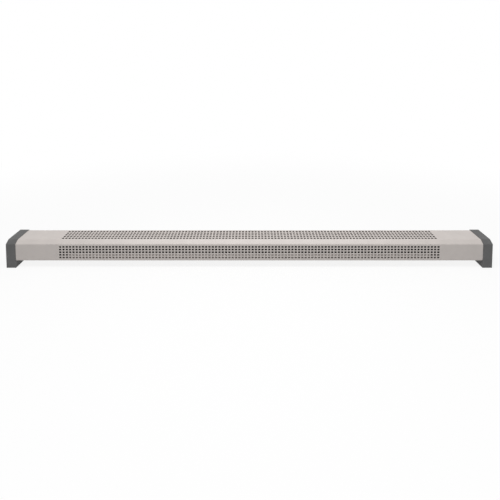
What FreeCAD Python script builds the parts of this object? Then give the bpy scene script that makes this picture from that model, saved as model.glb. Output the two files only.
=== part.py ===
import FreeCAD, Part
import math
import os

from FreeCAD import Vector

os.makedirs("parts", exist_ok=True)

# Plinth heater: a long, low convector. A folded perforated cover closes over a back tray, and two
# moulded end caps carry the casing clear of the floor. Sizes are in millimetres: the length runs
# along X, the front faces -Y, Z is up, and the origin is on the floor under the middle.

# Overall size
overall_length = 1466.0
overall_depth = 59.0
overall_height = 83.2
floor_gap = 20.8
chamfer_run = 11.2
chamfer_rise = 9.0

# Sheet casing
cap_reveal = 1.0
sheet = 1.0
cover_bend = 3.0
lower_bend = 6.0
cover_return = 15.0
cover_rear_lap = 16.0
tray_bend = 2.5
tray_edge_gap = 0.3
lip_height = 20.0
lip_inset = 5.7
lip_lean = 3.6
lip_end_gap = 48.0

# Perforation of the front and the top
hole_length = 6.4
hole_width = 5.4
column_pitch = 10.0
row_pitch = 8.26
hole_rows = 5
plain_end = 131.3
front_row_start = 11.6
top_row_start = 16.0

# End caps and their feet
cap_width = 28.5
cap_wall = 3.0
cap_corner = 1.5
cap_edge = 1.2
cap_web = 4.0
web_rise = 2.9
spigot_length = 10.0
spigot_wall = 2.2
spigot_corner = 1.5
spigot_low_corner = 4.2
fit_gap = 0.3
boss_radius = 6.0
boss_low = 40.0
boss_high = 66.0
head_recess = 7.0
pad_height = 6.0
pad_proud = 0.8
pad_ledge = 2.0
pad_gap = 0.2

# End plates and bulkheads
plate = 1.2
plate_gap = 0.5
plate_low_corner = 4.5
end_plate_gap = 2.0
plate_flange = 12.0
flange_half = 22.0
flange_rivet_front = -4.0
flange_rivet_back = 16.0
wiring_bay = 111.5

# Heating element
element_y = 3.0
element_rise = 25.7
sheath_radius = 5.0
sheath_wall = 0.8
sheath_overhang = 22.0
fin_size = 32.0
fin_thickness = 0.6
fin_pitch = 8.0
fin_fold = 6.9
fin_collar_radius = 6.4
fin_collar_length = 2.5
fin_free_end = 15.0
slip = 0.1
bush_radius = 8.0
bush_flange_radius = 11.0
bush_flange = 4.0
bush_inside = 8.0
seal_inside = 8.0
seal_outside = 6.0
stud_radius = 2.0
stud_length = 20.0
hanger_thickness = 1.0
hanger_half = 10.0
hanger_lip = 4.0
hanger_foot = 12.0
hanger_fin_gap = 23.5

# Fasteners
rivet_radius = 1.6
rivet_head_radius = 3.0
rivet_head = 1.1
cap_screw_radius = 1.95
cap_screw_reach = 7.0
small_screw_radius = 1.7
screw_head_ratio = 2.0
screw_head_height = 2.4
cover_screw_count = 5
cover_screw_inset = 10.0
cover_screw_past = 15.0
cover_screw_reach = 6.0
nut_thickness = 3.2
nut_flats = 7.0
washer_thickness = 0.8
nut_gap = 1.0
washer_radius = 4.0

# Terminal block
pole_count = 3
pole_pitch = 8.0
block_length = 18.0
block_height = 14.0
block_offset = 12.0
block_back_gap = 1.5
barrel_radius = 2.2
barrel_bore = 1.5
barrel_rise = 8.0
barrel_recess = 1.0
clamp_screw_radius = 1.3
clamp_screw_spacing = 9.0
clamp_screw_sunk = 2.0
clamp_slot_depth = 1.0
clamp_slot_width = 0.6
driver_hole = 1.9
block_screw_radius = 1.4

# Over-temperature limiter and its reset button
limiter_length = 32.0
limiter_width = 28.0
limiter_height = 23.0
limiter_y = -3.0
limiter_gap = 1.3
collar_radius = 5.0
collar_length = 7.0
collar_nut_flats = 14.0
collar_nut_thickness = 3.0
button_radius = 2.5
button_gap = 0.1
button_proud = 3.0
button_travel = 2.0
button_flange_radius = 4.0
button_flange = 1.5
button_seat_rise = 3.0
button_stem_above = 2.0
tab_width = 6.3
tab_thickness = 0.8
tab_height = 9.0
tab_spacing = 16.0
connector_wall = 1.5
connector_rise = 1.4
connector_height = 13.0
capillary_radius = 1.2
capillary_drop = 30.0
capillary_offset = 9.0

# Wiring
wire_radius = 1.2
wire_bend = 5.0
wire_entry = 5.0
wire_gap = 1.8
crimp_radius = 2.0
crimp_start = 5.0
crimp_length = 5.0
crimp_grip = 3.5
tongue_width = 3.0
clip_count = 5
clip_fin_step = 28
clip_width = 5.0
clip_wall = 1.2
grommet_neck = 3.1
grommet_flange_radius = 4.4
grommet_flange = 1.2

# Earth stud, cable inlet and wall fixing
earth_offset = 18.0
earth_y = -12.0
earth_height = 15.0
earth_base_radius = 3.5
earth_base = 2.0
inlet_rise = 17.4
inlet_bore = 4.0
inlet_neck = 6.5
inlet_flange_radius = 8.5
inlet_flange = 1.7
wall_hole_radius = 2.75
wall_hole_offset = 47.0
wall_hole_rise = 31.4

# Places worked out from the sizes above
half_length = overall_length / 2
cap_front = -overall_depth / 2
cap_back = overall_depth / 2
casing_end = half_length - cap_width
cover_front = cap_front + cap_reveal
cover_back = cap_back - cap_reveal
cover_top = overall_height - cap_reveal
tray_underside = floor_gap + sheet
tray_floor = tray_underside + sheet
tray_back = cover_back - sheet
tray_face = tray_back - sheet
tray_front = cover_front + lower_bend + tray_edge_gap
tray_top = cover_top - cover_bend - tray_edge_gap
end_plate_face = casing_end - spigot_length - end_plate_gap
end_plate_inside = end_plate_face - plate
bulkhead = casing_end - wiring_bay
bulkhead_face = bulkhead + plate
lip_end = bulkhead - lip_end_gap
lip_fold = cover_front + lip_inset
element_z = tray_floor + element_rise
fin_top = element_z + fin_size / 2
sheath_end = bulkhead + sheath_overhang
stud_end = sheath_end + seal_outside + stud_length
block_start = bulkhead_face + block_offset
block_end = block_start + block_length
block_back = tray_face - block_back_gap
block_front = block_back - pole_count * pole_pitch
barrel_z = tray_floor + barrel_rise
live_y = block_front + 0.5 * pole_pitch
earth_pole_y = block_front + 1.5 * pole_pitch
neutral_y = block_front + 2.5 * pole_pitch
limiter_x = end_plate_inside - plate_flange - limiter_gap - limiter_length / 2
limiter_top = tray_floor + limiter_height
connector_top = limiter_top + connector_rise + connector_height
capillary_z = fin_top + capillary_radius + slip
nut_start = sheath_end + seal_outside + nut_gap
ring_x = nut_start + nut_thickness + washer_thickness / 2
earth_x = bulkhead_face + earth_offset
earth_ring_z = tray_floor + earth_base + washer_thickness / 2
inlet_z = tray_floor + inlet_rise
wall_hole_x = bulkhead + wall_hole_offset
wall_hole_z = tray_floor + wall_hole_rise
flange_middle = (plate_flange + plate) / 2
hanger_x = hanger_fin_gap * fin_pitch
hanger_rivet_x = hanger_x + hanger_thickness / 2 + hanger_foot / 2
cover_screw_y = cover_front + cover_screw_inset
X = Vector(1, 0, 0)
Y = Vector(0, 1, 0)
Z = Vector(0, 0, 1)


def save(name, *solids):
    shape = solids[0] if len(solids) == 1 else Part.makeCompound(list(solids))
    shape.exportStep("parts/" + name + ".step")


def mirrored(shape):
    return shape.mirror(Vector(0, 0, 0), X)


def box(x0, x1, y0, y1, z0, z1):
    return Part.makeBox(x1 - x0, y1 - y0, z1 - z0, Vector(x0, y0, z0))


def rod(radius, start, end):
    return Part.makeCylinder(radius, (end - start).Length, start, end - start)


def tube(outer, inner, start, end):
    return rod(outer, start, end).cut(rod(inner, start, end))


def placed(shape, point, axis):
    shape.Placement = FreeCAD.Placement(point, FreeCAD.Rotation(Z, axis))
    return shape


# Straight runs joined by tangent arcs, with a radius for each corner
def rounded_edges(points, bends):
    edges = []
    here = points[0]
    for before, corner, after, bend in zip(points, points[1:], points[2:], bends):
        into = (corner - before).normalize()
        out = (after - corner).normalize()
        turn = into.getAngle(out)
        reach = bend * math.tan(turn / 2)
        middle = corner + (out - into).normalize() * (bend / math.cos(turn / 2) - bend)
        edges.append(Part.LineSegment(here, corner - into * reach).toShape())
        edges.append(Part.Arc(corner - into * reach, middle, corner + out * reach).toShape())
        here = corner + out * reach
    edges.append(Part.LineSegment(here, points[-1]).toShape())
    return edges


# A closed outline with rounded corners, run along X
def rounded_prism(corners, bends, x0, x1):
    middle = (corners[0] + corners[-1]) * 0.5
    outline = Part.Wire(rounded_edges([middle] + corners + [middle], bends))
    outline.translate(Vector(x0, 0, 0))
    return Part.Face(outline).extrude(Vector(x1 - x0, 0, 0))


# The path of a sheet's other face, to the right of its outer face
def offset_path(points, distance):
    moved = []
    for place, point in enumerate(points):
        before = points[max(place - 1, 0)]
        after = points[min(place + 1, len(points) - 1)]
        into = (point - before if place else after - point).normalize()
        out = (after - point if place < len(points) - 1 else point - before).normalize()
        side_in = Vector(0, into.z, -into.y)
        side_out = Vector(0, out.z, -out.y)
        moved.append(point + (side_in + side_out) * (distance / (1 + side_in.dot(side_out))))
    return moved


# A folded sheet: its outer path with round bends, given the sheet's thickness and run along X
def folded_sheet(path, bends, x0, x1):
    inner = offset_path(path, sheet)
    edges = rounded_edges(path, bends) + rounded_edges(inner, [bend - sheet for bend in bends])
    edges.append(Part.LineSegment(path[0], inner[0]).toShape())
    edges.append(Part.LineSegment(path[-1], inner[-1]).toShape())
    outline = Part.Wire(Part.sortEdges(edges)[0])
    outline.translate(Vector(x0, 0, 0))
    return Part.Face(outline).extrude(Vector(x1 - x0, 0, 0))


# Corners of the casing's section: inset from the end caps' outline at front and top.
# They go from the lower front corner over the chamfer to the lower back corner.
def section(inset, back, bottom):
    slope = math.atan2(chamfer_rise, chamfer_run)
    low = overall_height - chamfer_rise - inset * math.tan(math.pi / 4 - slope / 2)
    front = cap_front + inset
    high_y = cap_front + chamfer_run + inset * math.tan(slope / 2)
    top = overall_height - inset
    return [
        Vector(0, front, bottom),
        Vector(0, front, low),
        Vector(0, high_y, top),
        Vector(0, back, top),
        Vector(0, back, bottom),
    ]


# Fasteners lie along their axis from the seat under the head
def screw(radius, length, point, axis):
    head_radius = radius * screw_head_ratio
    shank = Part.makeCylinder(radius, length, Vector(0, 0, 0), Z)
    head = Part.makeCylinder(head_radius, screw_head_height, Vector(0, 0, -screw_head_height), Z)
    edge = [e for e in head.Edges if e.BoundBox.ZMax < -0.9 * screw_head_height and len(e.Vertexes) == 1]
    head = head.makeFillet(screw_head_height * 0.4, edge)
    slot = head_radius * 0.65
    width = head_radius * 0.15
    depth = screw_head_height * 0.5
    top = -screw_head_height
    cross = box(-slot, slot, -width, width, top, top + depth)
    cross = cross.fuse(box(-width, width, -slot, slot, top, top + depth))
    return placed(head.fuse(shank).cut(cross), point, axis)


def hex_nut(flats, hole, thickness, point, axis):
    corner = flats / 2 / math.cos(math.pi / 6)
    angles = [math.radians(60 * side) for side in range(7)]
    ring = [Vector(corner * math.cos(a), corner * math.sin(a), 0) for a in angles]
    body = Part.Face(Part.makePolygon(ring)).extrude(Z * thickness)
    return placed(body.cut(Part.makeCylinder(hole, thickness)), point, axis)


# A blind rivet through two sheets, its heads tight on both outer faces
def rivet(point, grip):
    low = point - Z * rivet_head
    high = point + Z * grip
    lower = rod(rivet_head_radius, low, point)
    upper = rod(rivet_head_radius, high, high + Z * rivet_head)
    return rod(rivet_radius, point, high).fuse([lower, upper])


# A rubber grommet with its groove on a plate's edge; point is the plate's face
def grommet(neck, flange_radius, flange, bore, thickness, point, axis):
    body = Part.makeCylinder(flange_radius, flange, Vector(0, 0, -flange))
    body = body.fuse(Part.makeCylinder(neck, thickness))
    body = body.fuse(Part.makeCylinder(flange_radius, flange, Vector(0, 0, thickness)))
    body = body.cut(Part.makeCylinder(bore, thickness + 2 * flange, Vector(0, 0, -flange)))
    return placed(body.removeSplitter(), point, axis)


def wire(points):
    path = Part.Wire(rounded_edges(points, [wire_bend] * len(points)))
    ring = Part.Wire([Part.Circle(points[0], points[1] - points[0], wire_radius).toShape()])
    return path.makePipeShell([ring], True, False)


# A crimped ring terminal: its eye round a stud along axis, its barrel leading away along lead
def ring_terminal(point, axis, lead):
    back = point - axis * (washer_thickness / 2)
    eye = rod(washer_radius, back, back + axis * washer_thickness)
    side = axis.cross(lead)
    tongue = Part.makeBox(washer_thickness, tongue_width, crimp_start)
    turn = FreeCAD.Matrix(axis.x, side.x, lead.x, 0, axis.y, side.y, lead.y, 0, axis.z, side.z, lead.z, 0)
    tongue.translate(Vector(-washer_thickness / 2, -tongue_width / 2, stud_radius))
    tongue = tongue.transformGeometry(turn)
    tongue.translate(point)
    start = point + lead * crimp_start
    end = start + lead * crimp_length
    barrel = rod(crimp_radius, start, end)
    shape = eye.fuse([tongue, barrel])
    shape = shape.cut(rod(stud_radius + slip, back, back + axis * washer_thickness))
    return shape.cut(rod(wire_radius + slip, end - lead * crimp_grip, end))


# Where a wire's insulation ends inside a ring terminal's barrel
def crimp_point(point, lead):
    return point + lead * (crimp_start + crimp_length - crimp_grip)


# A flat sheet panel with a grid of punched holes, from one corner of its outer face
def punched_panel(corner, up, inward, height, first_row):
    def rectangle(start, width, rise):
        ends = [start, start + X * width, start + X * width + up * rise, start + up * rise]
        return Part.makePolygon(ends + [start])

    columns = int((2 * (casing_end - plain_end) - hole_length) / column_pitch + 1.001)
    first_column = casing_end - ((columns - 1) * column_pitch + hole_length) / 2
    wires = [rectangle(corner, 2 * casing_end, height)]
    for column in range(columns):
        for row in range(hole_rows):
            along = first_column + column * column_pitch
            rise = first_row - hole_width / 2 + row * row_pitch
            wires.append(rectangle(corner + X * along + up * rise, hole_length, hole_width))
    return Part.Face(wires).extrude(inward * sheet)


# Perforated cover: one sheet folded under the front, over the chamfer and top, and down the back
def make_cover():
    corners = section(cap_reveal, cover_back, floor_gap)
    start = Vector(0, cover_front + cover_return, floor_gap)
    end = Vector(0, cover_back, cover_top - cover_rear_lap)
    bends = [lower_bend, cover_bend, cover_bend, cover_bend]
    blank = folded_sheet([start] + corners[:4] + [end], bends, -casing_end, casing_end)

    slope = math.atan2(chamfer_rise, chamfer_run)
    front_low = floor_gap + lower_bend
    front_high = corners[1].z - cover_bend * math.tan(math.pi / 4 - slope / 2)
    top_front = corners[2].y + cover_bend * math.tan(slope / 2)
    top_back = cover_back - cover_bend
    cuts = [
        box(-casing_end, casing_end, cover_front, cover_front + sheet, front_low, front_high),
        box(-casing_end, casing_end, top_front, top_back, cover_top - sheet, cover_top),
    ]
    for x in cover_screw_places():
        point = Vector(x, cover_screw_y, floor_gap)
        cuts.append(rod(small_screw_radius + slip, point, point + Z * sheet))
    front = punched_panel(Vector(-casing_end, cover_front, front_low), Z, Y, front_high - front_low,
                          front_row_start - lower_bend)
    top = punched_panel(Vector(-casing_end, top_front, cover_top), Y, -Z, top_back - top_front,
                        cover_front + top_row_start - top_front)
    save("perforated_cover", blank.cut(cuts).fuse([front, top]))


def cover_screw_places():
    reach = bulkhead_face + cover_screw_past
    return [reach * (2 * place / (cover_screw_count - 1) - 1) for place in range(cover_screw_count)]


def rivet_places():
    places = []
    for x in (bulkhead_face - flange_middle, end_plate_face - flange_middle):
        for y in (flange_rivet_front, flange_rivet_back):
            places.append(Vector(x, y, tray_underside))
            places.append(Vector(-x, y, tray_underside))
    return places


def hanger_rivet_places():
    return [Vector(side * hanger_rivet_x, element_y, tray_underside) for side in (-1, 1)]


def block_screw_places():
    middle = block_start + block_length / 2
    return [Vector(middle, block_front + pole_pitch * pole, tray_floor) for pole in range(1, pole_count)]


# Back tray: the casing's rear wall and floor, folded from one sheet, which carries everything inside.
# Along the middle its front edge is folded up into a lip that leans out towards the cover.
def make_tray():
    wall = [
        Vector(0, tray_back, tray_top),
        Vector(0, tray_back, tray_underside),
    ]
    plain = wall + [Vector(0, tray_front, tray_underside)]
    lipped = wall + [
        Vector(0, lip_fold, tray_underside),
        Vector(0, lip_fold - lip_lean, tray_underside + lip_height),
    ]
    end = folded_sheet(plain, [tray_bend], lip_end, casing_end)
    tray = folded_sheet(lipped, [tray_bend, tray_bend], -lip_end, lip_end).fuse([end, mirrored(end)])
    holes = []
    for x in cover_screw_places():
        holes.append((small_screw_radius + slip, Vector(x, cover_screw_y, tray_underside)))
    for point in rivet_places() + hanger_rivet_places():
        holes.append((rivet_radius + slip, point))
    for point in block_screw_places():
        holes.append((block_screw_radius + slip, point - Z * sheet))
    holes.append((collar_radius + slip, Vector(limiter_x, limiter_y, tray_underside)))
    cuts = [rod(radius, point, point + Z * sheet) for radius, point in holes]
    wall_holes = [(wall_hole_radius, side * wall_hole_x, wall_hole_z) for side in (-1, 1)]
    for radius, x, z in wall_holes + [(inlet_neck + slip, limiter_x, inlet_z)]:
        cuts.append(rod(radius, Vector(x, tray_face, z), Vector(x, tray_back, z)))
    save("back_tray", tray.cut(cuts))


# End cap: a hollow moulding with the casing's outline, whose lower part is the foot
def make_end_caps():
    corners = section(0, cap_back, pad_proud)
    rounding = [cap_corner] * len(corners)
    cap = rounded_prism(corners, rounding, casing_end, half_length)
    outer_edges = [e for e in cap.Edges if e.BoundBox.XMin > half_length - 0.001]
    cap = cap.makeFillet(cap_edge, outer_edges)
    web_top = floor_gap + web_rise
    inside = section(cap_wall, cap_back - cap_wall, web_top)
    cap = cap.cut(rounded_prism(inside, rounding, casing_end, half_length - cap_wall))
    spigot_inset = cap_reveal + sheet + fit_gap
    spigot_start = casing_end - spigot_length
    spigot_back = tray_face - fit_gap
    spigot_bottom = tray_floor + fit_gap
    outer = section(spigot_inset, spigot_back, spigot_bottom)
    inner = section(spigot_inset + spigot_wall, spigot_back - spigot_wall, spigot_bottom + spigot_wall)
    inner_rounding = [spigot_corner] * len(inner)
    outer_rounding = [spigot_low_corner] + inner_rounding[1:]
    spigot = rounded_prism(outer, outer_rounding, spigot_start, casing_end + cap_wall)
    spigot = spigot.cut(rounded_prism(inner, inner_rounding, spigot_start, casing_end + cap_wall))
    bosses = []
    holes = []
    for z in (boss_low, boss_high):
        outside = Vector(half_length, 0, z)
        seat = outside - X * head_recess
        bosses.append(rod(boss_radius, Vector(end_plate_face, 0, z), outside - X * (cap_wall / 2)))
        holes.append(rod(cap_screw_radius * screw_head_ratio + fit_gap, seat, outside))
        holes.append(rod(cap_screw_radius + fit_gap, Vector(end_plate_face, 0, z), seat))
    cap = cap.fuse([spigot] + bosses).cut(holes)
    foot_x0 = casing_end + cap_wall
    foot_x1 = half_length - cap_wall
    foot_y = cap_back - cap_wall
    pocket = box(foot_x0, foot_x1, -foot_y, foot_y, 0, pad_height)
    hollow = box(foot_x0 + pad_ledge, foot_x1 - pad_ledge, -foot_y + pad_ledge, foot_y - pad_ledge,
                 0, web_top - cap_web)
    cap = cap.cut([pocket, hollow]).removeSplitter()
    save("right_end_cap", cap)
    save("left_end_cap", mirrored(cap))

    pad = box(foot_x0 + pad_gap, foot_x1 - pad_gap, -foot_y + pad_gap, foot_y - pad_gap, 0, pad_height)
    uprights = [e for e in pad.Edges if e.BoundBox.ZLength > pad_height / 2]
    pad = pad.makeFillet(cap_corner, uprights)
    save("right_foot_pad", pad)
    save("left_foot_pad", mirrored(pad))

    screws = []
    for z in (boss_low, boss_high):
        length = half_length - head_recess - end_plate_inside + cap_screw_reach
        screws.append(screw(cap_screw_radius, length, Vector(half_length - head_recess, 0, z), -X))
    save("end_cap_screws", *(screws + [mirrored(s) for s in screws]))


# A plate across the casing with a foot flange riveted to the tray floor
def cross_plate(face, holes):
    corners = section(cap_reveal + sheet + plate_gap, tray_face, tray_floor)
    rounding = [plate_low_corner] + [cap_corner] * (len(corners) - 1)
    wall = rounded_prism(corners, rounding, face - plate, face)
    flange = box(face - plate_flange, face, -flange_half, flange_half, tray_floor, tray_floor + plate)
    wall = wall.fuse(flange).removeSplitter()
    cuts = [rod(radius, Vector(face - plate, y, z), Vector(face, y, z)) for radius, y, z in holes]
    for y in (flange_rivet_front, flange_rivet_back):
        foot = Vector(face - flange_middle, y, tray_floor)
        cuts.append(rod(rivet_radius + slip, foot, foot + Z * plate))
    return wall.cut(cuts)


# End plates take the end caps' screws; bulkheads part the wiring bays from the hot middle
def make_cross_plates():
    tapped = [(cap_screw_radius + slip / 2, 0, z) for z in (boss_low, boss_high)]
    end_plate = cross_plate(end_plate_face, tapped)
    save("right_end_plate", end_plate)
    save("left_end_plate", mirrored(end_plate))

    bush_hole = (bush_radius + slip, element_y, element_z)
    wire_hole = (grommet_neck + slip, neutral_y, barrel_z)
    capillary_hole = (grommet_neck + slip, element_y, capillary_z)
    save("right_bulkhead", cross_plate(bulkhead_face, [bush_hole, wire_hole, capillary_hole]))
    save("left_bulkhead", mirrored(cross_plate(bulkhead_face, [bush_hole, wire_hole])))

    grip = sheet + plate
    save("plate_rivets", *[rivet(point, grip) for point in rivet_places()])


def make_cover_screws():
    screws = []
    for x in cover_screw_places():
        seat = Vector(x, cover_screw_y, floor_gap)
        screws.append(screw(small_screw_radius, 2 * sheet + cover_screw_reach, seat, Z))
    save("cover_screws", *screws)


# Heating element: a sheathed rod with pressed-on plate fins, sealed ends and threaded studs
def make_element():
    axis_start = Vector(-sheath_end, element_y, element_z)
    axis_end = Vector(sheath_end, element_y, element_z)
    bore = sheath_radius - sheath_wall
    save("element_sheath", tube(sheath_radius, bore, axis_start, axis_end))
    save("element_core", rod(bore - slip, axis_start + X * seal_inside, axis_end - X * seal_inside))

    half_count = int((bulkhead - fin_free_end) / fin_pitch)
    half = fin_size / 2
    left = Vector(-fin_thickness / 2, element_y, element_z)
    right = Vector(fin_thickness / 2, element_y, element_z)
    fin_front = element_y - half
    plate_part = box(left.x, right.x, fin_front, element_y + half, element_z - half, fin_top)
    fold = box(right.x, right.x + fin_fold, fin_front, fin_front + fin_thickness, element_z - half, fin_top)
    collar = rod(fin_collar_radius, right, right + X * fin_collar_length)
    fin = plate_part.fuse([fold, collar]).cut(rod(sheath_radius + slip, left, right + X * fin_collar_length))
    places = range(-half_count, half_count + 1)
    save("element_fins", *[fin.translated(X * (place * fin_pitch)) for place in places])

    flange_start = Vector(bulkhead_face, element_y, element_z)
    flange_end = flange_start + X * bush_flange
    inside_end = flange_start - X * (plate + bush_inside)
    bush = rod(bush_flange_radius, flange_start, flange_end).fuse(rod(bush_radius, inside_end, flange_start))
    bush = bush.cut(rod(sheath_radius + slip, inside_end, flange_end)).removeSplitter()
    save("right_element_bush", bush)
    save("left_element_bush", mirrored(bush))

    seal_start = axis_end - X * seal_inside
    seal_end = axis_end + X * seal_outside
    seal = rod(bore - slip, seal_start, axis_end).fuse(rod(sheath_radius, axis_end, seal_end))
    seal = seal.cut(rod(stud_radius + slip, seal_start, seal_end)).removeSplitter()
    save("right_element_seal", seal)
    save("left_element_seal", mirrored(seal))

    stud = rod(stud_radius, seal_start, Vector(stud_end, element_y, element_z))
    save("right_terminal_stud", stud)
    save("left_terminal_stud", mirrored(stud))

    first = Vector(nut_start, element_y, element_z)
    second = first + X * (nut_thickness + 2 * washer_thickness)
    nuts = [hex_nut(nut_flats, stud_radius + slip / 2, nut_thickness, p, X) for p in (first, second)]
    save("terminal_nuts", *(nuts + [mirrored(n) for n in nuts]))
    washer_end = second - X * washer_thickness
    washer = tube(washer_radius, stud_radius + slip, washer_end, second)
    save("terminal_washers", washer, mirrored(washer))


# Hangers: notched plates on the tray floor that hold up the element between two fins
def make_hangers():
    def hanger(x):
        x0 = x - hanger_thickness / 2
        x1 = x + hanger_thickness / 2
        y0 = element_y - hanger_half
        y1 = element_y + hanger_half
        wall = box(x0, x1, y0, y1, tray_floor, element_z + hanger_lip)
        foot = box(x0, x1 + hanger_foot, y0, y1, tray_floor, tray_floor + hanger_thickness)
        notch = sheath_radius + slip
        cuts = [
            rod(notch, Vector(x0, element_y, element_z), Vector(x1, element_y, element_z)),
            box(x0, x1, element_y - notch, element_y + notch, element_z, element_z + hanger_lip),
            rod(rivet_radius + slip, Vector(hanger_rivet_x, element_y, tray_floor),
                Vector(hanger_rivet_x, element_y, tray_floor + hanger_thickness)),
        ]
        return wall.fuse(foot).cut(cuts).removeSplitter()

    right = hanger(hanger_x)
    save("right_hanger", right)
    save("left_hanger", mirrored(right))
    grip = sheet + hanger_thickness
    save("hanger_rivets", *[rivet(point, grip) for point in hanger_rivet_places()])


# Terminal block: a moulded strip with brass barrels, clamp screws and two fixing screws
def make_terminal_block():
    block = box(block_start, block_end, block_front, block_back, tray_floor, tray_floor + block_height)
    middle = block_start + block_length / 2
    places = (middle - clamp_screw_spacing / 2, middle + clamp_screw_spacing / 2)
    block_top = tray_floor + block_height
    cuts = []
    barrels = []
    clamps = []
    for y in (live_y, earth_pole_y, neutral_y):
        start = Vector(block_start, y, barrel_z)
        end = Vector(block_end, y, barrel_z)
        cuts.append(rod(barrel_radius + slip / 2, start, end))
        barrel = tube(barrel_radius, barrel_bore, start + X * barrel_recess, end - X * barrel_recess)
        for x in places:
            tip = Vector(x, y, barrel_z + wire_radius + slip)
            top = Vector(x, y, block_top)
            cuts.append(rod(driver_hole, Vector(x, y, barrel_z), top))
            barrel = barrel.cut(rod(clamp_screw_radius + slip / 2, Vector(x, y, barrel_z), top))
            clamp_top = top.z - clamp_screw_sunk
            clamp = rod(clamp_screw_radius, tip, Vector(x, y, clamp_top))
            slot = box(x - clamp_screw_radius, x + clamp_screw_radius, y - clamp_slot_width / 2,
                       y + clamp_slot_width / 2, clamp_top - clamp_slot_depth, clamp_top)
            clamps.append(clamp.cut(slot))
        barrels.append(barrel)
    for point in block_screw_places():
        cuts.append(rod(block_screw_radius + slip, point, point + Z * block_height))
    save("terminal_block", block.cut(cuts))
    save("terminal_barrels", *barrels)
    save("terminal_clamp_screws", *clamps)
    length = block_height + 2 * sheet
    fixings = [screw(block_screw_radius, length, p + Z * block_height, -Z) for p in block_screw_places()]
    save("terminal_block_screws", *fixings)


# Limiter: a cut-out on the tray floor whose threaded collar and reset button come out underneath
def make_limiter():
    half_x = limiter_length / 2
    half_y = limiter_width / 2
    body = box(limiter_x - half_x, limiter_x + half_x, limiter_y - half_y, limiter_y + half_y,
               tray_floor, limiter_top)
    uprights = [e for e in body.Edges if e.BoundBox.ZLength > limiter_height / 2]
    body = body.makeFillet(cap_corner, uprights)
    foot = Vector(limiter_x, limiter_y, tray_floor)
    collar_end = foot - Z * collar_length
    body = body.fuse(rod(collar_radius, collar_end, foot))
    seat = foot + Z * button_seat_rise
    chamber_top = seat + Z * (button_flange + button_travel + button_stem_above + fit_gap)
    cuts = [
        rod(button_radius + button_gap, collar_end, seat),
        rod(button_flange_radius + button_gap, seat - Z * fit_gap, chamber_top),
    ]
    entry = Vector(limiter_x - half_x, limiter_y - capillary_offset, capillary_z - capillary_drop)
    cuts.append(rod(capillary_radius + slip, entry, entry + X * wire_entry))
    save("limiter_body", body.cut(cuts))

    stem_top = seat + Z * (button_flange + button_stem_above / 2)
    stem = rod(button_radius, collar_end - Z * button_proud, stem_top)
    tip = [e for e in stem.Edges if e.BoundBox.ZMax < collar_end.z - button_proud + 0.001]
    stem = stem.makeFillet(button_radius * 0.3, tip)
    button = stem.fuse(rod(button_flange_radius, seat, seat + Z * button_flange)).removeSplitter()
    save("reset_button", button)

    nut_top = Vector(limiter_x, limiter_y, tray_underside)
    nut = hex_nut(collar_nut_flats, collar_radius + slip / 2, collar_nut_thickness, nut_top, -Z)
    save("limiter_nut", nut)

    tabs = []
    connectors = []
    for x in tab_places():
        tab = box(x - tab_thickness / 2, x + tab_thickness / 2, limiter_y - tab_width / 2,
                  limiter_y + tab_width / 2, limiter_top, limiter_top + tab_height)
        tabs.append(tab)
        half_t = tab_thickness / 2 + slip
        half_w = tab_width / 2 + slip
        outer_t = half_t + connector_wall
        outer_w = half_w + connector_wall
        base = limiter_top + connector_rise
        sleeve = box(x - outer_t, x + outer_t, limiter_y - outer_w, limiter_y + outer_w, base, connector_top)
        slot = box(x - half_t, x + half_t, limiter_y - half_w, limiter_y + half_w, base,
                   limiter_top + tab_height + slip)
        top = Vector(x, limiter_y, connector_top)
        hole = rod(wire_radius + slip, top - Z * (connector_wall * 2), top)
        connectors.append(sleeve.cut([slot, hole]))
    save("limiter_tabs", *tabs)
    save("push_on_connectors", *connectors)


def tab_places():
    return (limiter_x - tab_spacing / 2, limiter_x + tab_spacing / 2)


# Sensing tube: leaves the limiter, passes the right bulkhead and lies along the tops of the fins
def make_sensing_tube():
    low = capillary_z - capillary_drop
    side = limiter_y - capillary_offset
    exit_x = limiter_x - limiter_length / 2
    far_end = -int((bulkhead - fin_free_end) / fin_pitch) * fin_pitch
    points = [
        Vector(exit_x + wire_entry, side, low),
        Vector(exit_x - 3 * wire_bend, side, low),
        Vector(sheath_end - wire_bend, side, capillary_z - wire_bend),
        Vector(bulkhead_face + 2 * wire_bend, element_y, capillary_z),
        Vector(far_end, element_y, capillary_z),
    ]
    path = Part.Wire(rounded_edges(points, [wire_bend] * len(points)))
    ring = Part.Wire([Part.Circle(points[0], X, capillary_radius).toShape()])
    save("sensing_tube", path.makePipeShell([ring], True, False))


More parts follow.
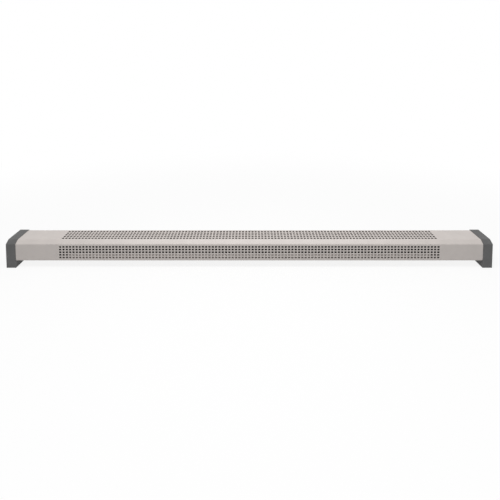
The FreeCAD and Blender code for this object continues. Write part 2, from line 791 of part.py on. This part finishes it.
# Internal wiring, with crimped ring terminals, clips on the back wall and grommets in the bulkheads
def make_wiring():
    stud = Vector(ring_x, element_y, element_z)
    left_stud = Vector(-ring_x, element_y, element_z)
    earth = Vector(earth_x, earth_y, earth_ring_z)
    barrel_x = block_start + wire_entry
    near_tab, far_tab = tab_places()
    loop_z = cover_top - 2 * wire_bend
    tab_z = connector_top - 2 * connector_wall

    left_turn = block_start - wire_bend
    live_side = block_front - wire_radius - wire_gap
    save("live_wire", wire([
        Vector(barrel_x, live_y, barrel_z),
        Vector(left_turn, live_y, barrel_z),
        Vector(left_turn, live_side, barrel_z),
        Vector(stud_end - wire_bend, live_side, barrel_z),
        Vector(stud_end, limiter_y, loop_z - wire_bend),
        Vector(near_tab, limiter_y, loop_z),
        Vector(near_tab, limiter_y, tab_z),
    ]))

    lead_up = crimp_point(stud, Z)
    save("switched_live_wire", wire([
        lead_up,
        Vector(ring_x, element_y, loop_z),
        Vector(far_tab - wire_bend, element_y + 3 * wire_bend, loop_z),
        Vector(far_tab, limiter_y, loop_z),
        Vector(far_tab, limiter_y, tab_z),
    ]))

    lead_down = crimp_point(left_stud, -Z)
    save("neutral_wire", wire([
        lead_down,
        Vector(-ring_x, element_y, barrel_z),
        Vector(-ring_x, neutral_y, barrel_z),
        Vector(barrel_x, neutral_y, barrel_z),
    ]))

    lead_left = crimp_point(earth, -X)
    earth_turn = bulkhead_face + wire_radius + fit_gap
    save("earth_wire", wire([
        Vector(barrel_x, earth_pole_y, barrel_z),
        Vector(earth_turn, earth_pole_y, barrel_z),
        Vector(earth_turn, earth_y, earth_ring_z),
        lead_left,
    ]))

    save("ring_terminals", ring_terminal(stud, X, Z), ring_terminal(left_stud, X, -Z),
         ring_terminal(earth, Z, -X))

    clips = []
    for place in range(clip_count):
        x = ((place - (clip_count - 1) / 2) * clip_fin_step + 0.5) * fin_pitch
        half_z = wire_radius + slip + clip_wall
        clip = box(x - clip_width / 2, x + clip_width / 2, neutral_y - half_z, tray_face,
                   barrel_z - half_z, barrel_z + half_z)
        start = Vector(x - clip_width / 2, neutral_y, barrel_z)
        clips.append(clip.cut(rod(wire_radius + slip, start, start + X * clip_width)))
    save("wire_clips", *clips)

    wire_place = Vector(bulkhead, neutral_y, barrel_z)
    capillary_place = Vector(bulkhead, element_y, capillary_z)
    sizes = (grommet_neck, grommet_flange_radius, grommet_flange)
    right = grommet(*sizes, wire_radius + slip, plate, wire_place, X)
    upper = grommet(*sizes, capillary_radius + slip, plate, capillary_place, X)
    save("bulkhead_grommets", right, upper, mirrored(right))


# Earth stud on the tray floor, and the rubber inlet that lines the cable hole in the back wall
def make_earth_and_inlet():
    foot = Vector(earth_x, earth_y, tray_floor)
    base_top = foot + Z * earth_base
    stud = rod(stud_radius, foot, foot + Z * earth_height).fuse(rod(earth_base_radius, foot, base_top))
    save("earth_stud", stud.removeSplitter())
    washer_start = base_top + Z * washer_thickness
    washer_end = washer_start + Z * washer_thickness
    save("earth_washer", tube(washer_radius, stud_radius + slip, washer_start, washer_end))
    save("earth_nut", hex_nut(nut_flats, stud_radius + slip / 2, nut_thickness, washer_end, Z))

    wall = Vector(limiter_x, tray_face, inlet_z)
    save("cable_inlet", grommet(inlet_neck, inlet_flange_radius, inlet_flange, inlet_bore, sheet, wall, Y))


make_cover()
make_tray()
make_end_caps()
make_cross_plates()
make_cover_screws()
make_element()
make_hangers()
make_terminal_block()
make_limiter()
make_sensing_tube()
make_wiring()
make_earth_and_inlet()
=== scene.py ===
import math

import bmesh
import bpy
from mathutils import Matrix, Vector


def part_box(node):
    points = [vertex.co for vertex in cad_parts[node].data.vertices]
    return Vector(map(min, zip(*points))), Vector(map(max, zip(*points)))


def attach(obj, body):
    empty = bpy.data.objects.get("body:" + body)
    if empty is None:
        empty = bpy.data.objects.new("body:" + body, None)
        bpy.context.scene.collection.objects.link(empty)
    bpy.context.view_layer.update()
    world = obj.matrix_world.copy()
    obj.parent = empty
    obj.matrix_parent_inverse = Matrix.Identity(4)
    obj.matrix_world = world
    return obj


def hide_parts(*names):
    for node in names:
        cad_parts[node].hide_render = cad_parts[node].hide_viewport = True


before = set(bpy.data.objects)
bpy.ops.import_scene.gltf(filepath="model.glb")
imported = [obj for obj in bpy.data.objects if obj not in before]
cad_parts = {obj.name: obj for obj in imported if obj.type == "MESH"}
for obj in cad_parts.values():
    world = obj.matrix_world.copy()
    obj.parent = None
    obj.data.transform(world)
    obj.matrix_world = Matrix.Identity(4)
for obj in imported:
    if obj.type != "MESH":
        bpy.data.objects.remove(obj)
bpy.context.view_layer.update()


# Back tray: the casing's rear wall and floor, folded from one steel sheet.
# Powder coat covers it inside and out: warm light grey, satin, with the fine ripple that
# melted powder leaves.
def new_finish(name, colour, roughness, metallic=0.0):
    finish = bpy.data.materials.new(name)
    finish.use_nodes = True
    shader = finish.node_tree.nodes["Principled BSDF"]
    shader.inputs["Base Color"].default_value = (*colour, 1)
    shader.inputs["Roughness"].default_value = roughness
    shader.inputs["Metallic"].default_value = metallic
    return finish


def cloudy(finish, size, detail=2.0):
    nodes, links = finish.node_tree.nodes, finish.node_tree.links
    place = nodes.new("ShaderNodeTexCoord")
    noise = nodes.new("ShaderNodeTexNoise")
    noise.inputs["Scale"].default_value = 1 / size
    noise.inputs["Detail"].default_value = detail
    links.new(place.outputs["Object"], noise.inputs["Vector"])
    return noise.outputs["Fac"]


def vary_colour(finish, pattern, first, second, start=0.35, end=0.65):
    nodes, links = finish.node_tree.nodes, finish.node_tree.links
    ramp = nodes.new("ShaderNodeValToRGB")
    for step, place, colour in zip(ramp.color_ramp.elements, (start, end), (first, second)):
        step.position = place
        step.color = (*colour, 1)
    links.new(pattern, ramp.inputs["Fac"])
    links.new(ramp.outputs["Color"], nodes["Principled BSDF"].inputs["Base Color"])


def vary_roughness(finish, pattern, low, high, start=0.3, end=0.7):
    nodes, links = finish.node_tree.nodes, finish.node_tree.links
    span = nodes.new("ShaderNodeMapRange")
    span.inputs["From Min"].default_value = start
    span.inputs["From Max"].default_value = end
    span.inputs["To Min"].default_value = low
    span.inputs["To Max"].default_value = high
    links.new(pattern, span.inputs["Value"])
    links.new(span.outputs["Result"], nodes["Principled BSDF"].inputs["Roughness"])


def raise_grain(finish, pattern, height):
    nodes, links = finish.node_tree.nodes, finish.node_tree.links
    bump = nodes.new("ShaderNodeBump")
    bump.inputs["Distance"].default_value = height
    links.new(pattern, bump.inputs["Height"])
    links.new(bump.outputs["Normal"], nodes["Principled BSDF"].inputs["Normal"])


def dress(finish, *nodes):
    for node in nodes:
        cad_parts[node].material_slots[0].material = finish


powder_coat = new_finish("powder_coat", (0.63, 0.58, 0.55), roughness=0.34)
vary_colour(powder_coat, cloudy(powder_coat, size=0.03), (0.617, 0.568, 0.539), (0.643, 0.592, 0.561))
vary_roughness(powder_coat, cloudy(powder_coat, size=0.012), low=0.31, high=0.37)
raise_grain(powder_coat, cloudy(powder_coat, size=0.0016, detail=1.0), height=0.00006)
dress(powder_coat, "back_tray")


# Cross plates and hangers: end plates that take the end caps' screws, bulkheads that shut off
# the wiring bays, and the two brackets under the element. Zinc-coated sheet with a faint spangle,
# riveted to the tray's floor with plain aluminium rivets.
zinc_sheet = new_finish("zinc_sheet", (0.62, 0.63, 0.64), roughness=0.4, metallic=1.0)
spangle = cloudy(zinc_sheet, size=0.006, detail=3.0)
vary_colour(zinc_sheet, spangle, (0.54, 0.55, 0.57), (0.68, 0.69, 0.70))
vary_roughness(zinc_sheet, cloudy(zinc_sheet, size=0.004), low=0.32, high=0.50)
dress(zinc_sheet, "left_end_plate", "right_end_plate", "left_bulkhead", "right_bulkhead", "left_hanger",
      "right_hanger")

rivet_metal = new_finish("rivet_aluminium", (0.72, 0.72, 0.73), roughness=0.35, metallic=1.0)
vary_roughness(rivet_metal, cloudy(rivet_metal, size=0.0008), low=0.28, high=0.45)
dress(rivet_metal, "plate_rivets", "hanger_rivets")


# Heating element: a steel sheath packed with insulating powder, with black fins pressed on it.
# Porcelain bushes hold it in the bulkheads, and studs carry the current in at its sealed ends.
sheath_steel = new_finish("sheath_steel", (0.22, 0.20, 0.19), roughness=0.45, metallic=1.0)
heat_tint = cloudy(sheath_steel, size=0.05, detail=3.0)
vary_colour(sheath_steel, heat_tint, (0.16, 0.14, 0.14), (0.30, 0.26, 0.22))
vary_roughness(sheath_steel, cloudy(sheath_steel, size=0.004), low=0.38, high=0.55)
dress(sheath_steel, "element_sheath")

fin_black = new_finish("fin_black", (0.022, 0.022, 0.023), roughness=0.7)
vary_colour(fin_black, cloudy(fin_black, size=0.015), (0.018, 0.018, 0.019), (0.028, 0.028, 0.029))
raise_grain(fin_black, cloudy(fin_black, size=0.0008), height=0.00003)
dress(fin_black, "element_fins")

insulating_powder = new_finish("insulating_powder", (0.80, 0.79, 0.75), roughness=0.9)
raise_grain(insulating_powder, cloudy(insulating_powder, size=0.0005), height=0.00005)
dress(insulating_powder, "element_core")

porcelain = new_finish("porcelain", (0.76, 0.74, 0.68), roughness=0.55)
vary_colour(porcelain, cloudy(porcelain, size=0.003, detail=4.0), (0.72, 0.70, 0.63), (0.79, 0.77, 0.71))
raise_grain(porcelain, cloudy(porcelain, size=0.0007), height=0.00003)
dress(porcelain, "left_element_bush", "right_element_bush", "left_element_seal", "right_element_seal")

screw_steel = new_finish("screw_steel", (0.64, 0.64, 0.63), roughness=0.3, metallic=1.0)
vary_colour(screw_steel, cloudy(screw_steel, size=0.003), (0.58, 0.59, 0.60), (0.69, 0.68, 0.65))
vary_roughness(screw_steel, cloudy(screw_steel, size=0.001), low=0.22, high=0.38)
dress(screw_steel, "left_terminal_stud", "right_terminal_stud", "terminal_nuts", "terminal_washers")


# Terminal block: a moulded off-white strip screwed to the tray's floor in the right-hand bay.
# Three turned brass barrels lie in it, each with two clamp screws.
block_plastic = new_finish("block_plastic", (0.72, 0.70, 0.64), roughness=0.45)
vary_colour(block_plastic, cloudy(block_plastic, size=0.004), (0.70, 0.68, 0.61), (0.74, 0.72, 0.66))
raise_grain(block_plastic, cloudy(block_plastic, size=0.0006), height=0.00002)
dress(block_plastic, "terminal_block")

turned_brass = new_finish("turned_brass", (0.72, 0.55, 0.24), roughness=0.3, metallic=1.0)
vary_colour(turned_brass, cloudy(turned_brass, size=0.002), (0.64, 0.47, 0.19), (0.76, 0.59, 0.28))
vary_roughness(turned_brass, cloudy(turned_brass, size=0.0008), low=0.22, high=0.4)
dress(turned_brass, "terminal_barrels", "terminal_clamp_screws")
dress(screw_steel, "terminal_block_screws")


# Over-temperature limiter: a dark moulded body held by a brass nut under the tray, with two tabs
# and white sleeves on its connectors. Its copper sensing tube lies along the top of the fins.
limiter_plastic = new_finish("limiter_plastic", (0.035, 0.030, 0.027), roughness=0.5)
vary_roughness(limiter_plastic, cloudy(limiter_plastic, size=0.003), low=0.4, high=0.6)
raise_grain(limiter_plastic, cloudy(limiter_plastic, size=0.0006), height=0.00002)
dress(limiter_plastic, "limiter_body")
dress(turned_brass, "limiter_nut", "limiter_tabs")

sleeve_plastic = new_finish("sleeve_plastic", (0.74, 0.74, 0.72), roughness=0.35)
vary_colour(sleeve_plastic, cloudy(sleeve_plastic, size=0.003), (0.71, 0.71, 0.69), (0.77, 0.77, 0.75))
dress(sleeve_plastic, "push_on_connectors")

drawn_copper = new_finish("drawn_copper", (0.70, 0.38, 0.25), roughness=0.3, metallic=1.0)
tarnish = cloudy(drawn_copper, size=0.02, detail=3.0)
vary_colour(drawn_copper, tarnish, (0.55, 0.27, 0.17), (0.76, 0.44, 0.31))
dress(drawn_copper, "sensing_tube")


# Reset button: a small glossy red moulding that pokes down through the limiter's collar.
# It is pressed upwards from under the casing, and a spring brings it back.
button_red = new_finish("button_red", (0.50, 0.03, 0.022), roughness=0.25)
vary_colour(button_red, cloudy(button_red, size=0.002), (0.47, 0.026, 0.020), (0.54, 0.036, 0.026))
raise_grain(button_red, cloudy(button_red, size=0.0004), height=0.00001)
dress(button_red, "reset_button")


# Wiring: a brown live wire, a black switched live, a neutral in a white glass-fibre sleeve and a
# green and yellow earth, with tinned ring terminals and nylon clips on the tray.
def wire_cover(name, colour, roughness, spread=0.08):
    cover = new_finish(name, colour, roughness)
    vary_roughness(cover, cloudy(cover, size=0.002), low=roughness - spread, high=roughness + spread)
    raise_grain(cover, cloudy(cover, size=0.0005), height=0.00001)
    return cover


def bands(finish, width, turn):
    width_at_scale_one = math.pi / 10
    nodes, links = finish.node_tree.nodes, finish.node_tree.links
    place = nodes.new("ShaderNodeTexCoord")
    lean = nodes.new("ShaderNodeMapping")
    lean.inputs["Rotation"].default_value = turn
    wave = nodes.new("ShaderNodeTexWave")
    wave.inputs["Scale"].default_value = width_at_scale_one / width
    links.new(place.outputs["Object"], lean.inputs["Vector"])
    links.new(lean.outputs["Vector"], wave.inputs["Vector"])
    return wave.outputs["Fac"]


dress(wire_cover("brown_insulation", (0.16, 0.075, 0.04), roughness=0.45), "live_wire")
dress(wire_cover("black_insulation", (0.025, 0.025, 0.025), roughness=0.45), "switched_live_wire")

glass_sleeve = wire_cover("glass_sleeve", (0.74, 0.73, 0.69), roughness=0.75)
weave = bands(glass_sleeve, width=0.0008, turn=(0, 0, 0.8))
vary_colour(glass_sleeve, weave, (0.62, 0.61, 0.57), (0.78, 0.77, 0.73))
dress(glass_sleeve, "neutral_wire")

earth_stripe = wire_cover("earth_stripe", (0.2, 0.4, 0.05), roughness=0.45)
stripes = bands(earth_stripe, width=0.003, turn=(0.5, 0.5, 0.6))
vary_colour(earth_stripe, stripes, (0.06, 0.28, 0.05), (0.68, 0.60, 0.05), start=0.55, end=0.6)
dress(earth_stripe, "earth_wire")

tinned_copper = new_finish("tinned_copper", (0.70, 0.70, 0.69), roughness=0.35, metallic=1.0)
vary_roughness(tinned_copper, cloudy(tinned_copper, size=0.0015), low=0.25, high=0.45)
dress(tinned_copper, "ring_terminals")

clip_nylon = new_finish("clip_nylon", (0.70, 0.69, 0.64), roughness=0.4)
vary_colour(clip_nylon, cloudy(clip_nylon, size=0.003), (0.67, 0.66, 0.61), (0.73, 0.72, 0.67))
dress(clip_nylon, "wire_clips")

dress(screw_steel, "earth_stud", "earth_washer")
dress(turned_brass, "earth_nut")


# Rubber liners: the bush that lines the cable's hole in the rear wall, and the grommets where wires
# pass through the bulkheads. Moulded matt black rubber with a grey bloom, snapped into the sheet.
black_rubber = new_finish("black_rubber", (0.028, 0.028, 0.028), roughness=0.75)
bloom = cloudy(black_rubber, size=0.006, detail=3.0)
vary_colour(black_rubber, bloom, (0.022, 0.022, 0.022), (0.038, 0.038, 0.037))
vary_roughness(black_rubber, cloudy(black_rubber, size=0.003), low=0.65, high=0.85)
raise_grain(black_rubber, cloudy(black_rubber, size=0.0006), height=0.00003)
dress(black_rubber, "cable_inlet", "bulkhead_grommets")


# Perforated cover: one steel sheet, punched with a grid of oblong holes over the front and the top,
# then folded under the front, over the chamfer and down the back, and powder coated after that.
# Punching leaves each hole's edge a little rounded, and the coat softens it further.
sheet = 0.001
bend_radius = 0.003
lower_bend = 0.006
bend_steps = 6
front_return = 0.015
rear_lap = 0.016
chamfer_run = 0.01055
chamfer_rise = 0.00848
hole_length = 0.0064
hole_width = 0.0054
column_pitch = 0.010
row_pitch = 0.00826
columns = 115
rows = 5
front_row_start = 0.0116
top_row_start = 0.016
edge_softness = 0.00022
sharp_angle = math.radians(60)
near = 0.00001


def run_along(mesh, edges, distance):
    grown = bmesh.ops.extrude_edge_only(mesh, edges=edges)["geom"]
    ends = [part for part in grown if isinstance(part, bmesh.types.BMVert)]
    bmesh.ops.translate(mesh, verts=ends, vec=(distance, 0, 0))


def cut_across(mesh, direction, distance):
    everything = mesh.verts[:] + mesh.edges[:] + mesh.faces[:]
    axis = Vector(direction)
    bmesh.ops.bisect_plane(mesh, geom=everything, dist=near, plane_co=axis * distance, plane_no=axis)


def new_piece(name, mesh, finish, node):
    shape = bpy.data.meshes.new(name)
    mesh.to_mesh(shape)
    mesh.free()
    shape.shade_smooth()
    shape.materials.append(finish)
    piece = bpy.data.objects.new(name, shape)
    bpy.context.scene.collection.objects.link(piece)
    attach(piece, "heater")
    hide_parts(node)
    return piece


low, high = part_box("perforated_cover")
front_rows = [low.z + front_row_start + row_pitch * row for row in range(rows)]
top_rows = [low.y + top_row_start + row_pitch * row for row in range(rows)]
first_column = -column_pitch * (columns - 1) / 2
corners = [
    (low.y + front_return, low.z),
    (low.y, low.z),
    (low.y, high.z - chamfer_rise),
    (low.y + chamfer_run, high.z),
    (high.y, high.z),
    (high.y, high.z - rear_lap),
]

cover = bmesh.new()
outline = [cover.verts.new((first_column - column_pitch / 2, y, z)) for y, z in corners]
run_along(cover, [cover.edges.new(pair) for pair in zip(outline, outline[1:])], column_pitch)
radii = [lower_bend, bend_radius, bend_radius, bend_radius]
for (y, z), radius in zip(corners[1:-1], radii):
    fold = [e for e in cover.edges if all(abs(v.co.y - y) + abs(v.co.z - z) < near for v in e.verts)]
    reach = radius * math.tan(fold[0].calc_face_angle() / 2)
    bmesh.ops.bevel(cover, geom=fold, offset=reach, segments=bend_steps, profile=0.5, affect="EDGES",
                    material=-1)
for side in (-1, 1):
    cut_across(cover, (1, 0, 0), first_column + side * hole_length / 2)
    for place in front_rows:
        cut_across(cover, (0, 0, 1), place + side * hole_width / 2)
    for place in top_rows:
        cut_across(cover, (0, 1, 0), place + side * hole_width / 2)


def is_punched(face):
    middle = face.calc_center_median()
    if abs(middle.x - first_column) > hole_length / 2:
        return False
    if middle.y < low.y + near:
        return any(abs(middle.z - place) < hole_width / 2 for place in front_rows)
    if middle.z > high.z - near:
        return any(abs(middle.y - place) < hole_width / 2 for place in top_rows)
    return False


bmesh.ops.delete(cover, geom=[face for face in cover.faces if is_punched(face)], context="FACES")
column = cover.verts[:] + cover.edges[:] + cover.faces[:]
bmesh.ops.spin(cover, geom=column, axis=(1, 0, 0), cent=(0, 0, 0), dvec=(column_pitch, 0, 0), angle=0,
               steps=columns - 1, use_duplicate=True)
bmesh.ops.remove_doubles(cover, verts=cover.verts, dist=near)
for side in (-1, 1):
    end = side * column_pitch * columns / 2
    rim = [e for e in cover.edges if all(abs(v.co.x - end) < near for v in e.verts)]
    run_along(cover, rim, side * (high.x - abs(end)))
bmesh.ops.recalc_face_normals(cover, faces=cover.faces)

perforated_cover = new_piece("punched_cover", cover, powder_coat, "perforated_cover")
wall = perforated_cover.modifiers.new("sheet", "SOLIDIFY")
wall.thickness = sheet
wall.offset = -1
wall.use_even_offset = True
softened = perforated_cover.modifiers.new("softened_edges", "BEVEL")
softened.width = edge_softness
softened.segments = 1
softened.limit_method = "ANGLE"
softened.angle_limit = sharp_angle
even = perforated_cover.modifiers.new("even_shading", "WEIGHTED_NORMAL")
even.keep_sharp = True
dress(screw_steel, "cover_screws")


# End caps: hollow mouldings in dark grey plastic with the casing's outline, a little proud of it.
# The mould was spark eroded, so they are matt with an even fine grain. Two sunk screws hold each.
cap_plastic = new_finish("cap_plastic", (0.112, 0.112, 0.112), roughness=0.5)
vary_colour(cap_plastic, cloudy(cap_plastic, size=0.02), (0.104, 0.104, 0.104), (0.119, 0.119, 0.119))
vary_roughness(cap_plastic, cloudy(cap_plastic, size=0.002), low=0.48, high=0.6)
raise_grain(cap_plastic, cloudy(cap_plastic, size=0.0006, detail=3.0), height=0.0002)
dress(cap_plastic, "left_end_cap", "right_end_cap")
dress(screw_steel, "end_cap_screws")


# Foot pads: black rubber blocks pressed into pockets under the end caps. They stand a little proud,
# so that the caps themselves don't touch the floor.
dress(black_rubber, "left_foot_pad", "right_foot_pad")


# Studio: a pale floor that runs out of sight, one long soft lamp above and a little in front, and even
# light from all round. The floor and the surround are white to the eye, and the heater's shadow is faint.
def seen_directly(nodes, links):
    path = nodes.new("ShaderNodeLightPath")
    either = nodes.new("ShaderNodeMath")
    either.operation = "MAXIMUM"
    links.new(path.outputs["Is Camera Ray"], either.inputs[0])
    links.new(path.outputs["Is Glossy Ray"], either.inputs[1])
    any_of = nodes.new("ShaderNodeMath")
    any_of.operation = "MAXIMUM"
    links.new(either.outputs["Value"], any_of.inputs[0])
    links.new(path.outputs["Is Transmission Ray"], any_of.inputs[1])
    return any_of.outputs["Value"]


floor_reach = 6.0
floor_colour = (0.7, 0.7, 0.7)
floor_roughness = 0.9
floor_white = 0.85
shadow_start = 0.2
shadow_end = 1.0
shadow_shape = (0.5, 1, 1)
ambient = 0.43

ground = bmesh.new()
bmesh.ops.create_grid(ground, x_segments=1, y_segments=1, size=floor_reach)
ground_mesh = bpy.data.meshes.new("studio_floor")
ground.to_mesh(ground_mesh)
ground.free()
studio_floor = bpy.data.objects.new("studio_floor", ground_mesh)
bpy.context.scene.collection.objects.link(studio_floor)

pale = bpy.data.materials.new("pale_floor")
pale.use_nodes = True
nodes, links = pale.node_tree.nodes, pale.node_tree.links
chalk = nodes["Principled BSDF"]
chalk.inputs["Base Color"].default_value = (*floor_colour, 1)
chalk.inputs["Roughness"].default_value = floor_roughness
chalk.inputs["Specular IOR Level"].default_value = 0.0
glow = nodes.new("ShaderNodeEmission")
place = nodes.new("ShaderNodeTexCoord")
oblong = nodes.new("ShaderNodeMapping")
oblong.inputs["Scale"].default_value = shadow_shape
away = nodes.new("ShaderNodeVectorMath")
away.operation = "LENGTH"
whiter = nodes.new("ShaderNodeMapRange")
whiter.interpolation_type = "SMOOTHSTEP"
whiter.inputs["From Min"].default_value = shadow_start
whiter.inputs["From Max"].default_value = shadow_end
whiter.inputs["To Min"].default_value = floor_white
whiter.inputs["To Max"].default_value = 1.0
lit = nodes.new("ShaderNodeBsdfDiffuse")
lit.inputs["Color"].default_value = (1, 1, 1, 1)
to_the_eye = nodes.new("ShaderNodeMixShader")
blend = nodes.new("ShaderNodeMixShader")
links.new(place.outputs["Object"], oblong.inputs["Vector"])
links.new(oblong.outputs["Vector"], away.inputs[0])
links.new(away.outputs["Value"], whiter.inputs["Value"])
links.new(whiter.outputs["Result"], to_the_eye.inputs["Fac"])
links.new(lit.outputs["BSDF"], to_the_eye.inputs[1])
links.new(glow.outputs["Emission"], to_the_eye.inputs[2])
links.new(seen_directly(nodes, links), blend.inputs["Fac"])
links.new(chalk.outputs["BSDF"], blend.inputs[1])
links.new(to_the_eye.outputs["Shader"], blend.inputs[2])
links.new(blend.outputs["Shader"], nodes["Material Output"].inputs["Surface"])
ground_mesh.materials.append(pale)

surround = bpy.data.worlds.new("studio")
surround.use_nodes = True
bpy.context.scene.world = surround
nodes, links = surround.node_tree.nodes, surround.node_tree.links
level = nodes.new("ShaderNodeMapRange")
level.inputs["To Min"].default_value = ambient
level.inputs["To Max"].default_value = 1.0
nodes["Background"].inputs["Color"].default_value = (1, 1, 1, 1)
links.new(seen_directly(nodes, links), level.inputs["Value"])
links.new(level.outputs["Result"], nodes["Background"].inputs["Strength"])

lamp_size = (1.8, 0.3)
lamp_power = 10.8
lamp_place = (0, -0.31, 1.2)
lamp_tilt = math.radians(15)

light = bpy.data.lights.new("soft_lamp", "AREA")
light.shape = "RECTANGLE"
light.size, light.size_y = lamp_size
light.energy = lamp_power
lamp = bpy.data.objects.new("soft_lamp", light)
lamp.location = lamp_place
lamp.rotation_euler.x = lamp_tilt
bpy.context.scene.collection.objects.link(lamp)


# Camera: in front of the middle and well above, on the photograph's viewing angle. The photograph was
# taken with its picture plane upright, as a view camera does with its lens lowered. Part of that is
# given by the lens shift here, as far as other views still hold the whole heater.
camera_place = (0.0021, -0.9023, 0.6773)
look_down = math.radians(2.674)
sensor = 36
lens = 21.553
lens_shift = -0.3848

camera = bpy.data.cameras.new("camera")
camera.lens = lens
camera.sensor_width = sensor
camera.shift_y = lens_shift
viewer = bpy.data.objects.new("camera", camera)
viewer.location = camera_place
viewer.rotation_euler.x = math.radians(90) - look_down
bpy.context.scene.collection.objects.link(viewer)
bpy.context.scene.camera = viewer
bpy.context.scene.view_settings.view_transform = "Standard"
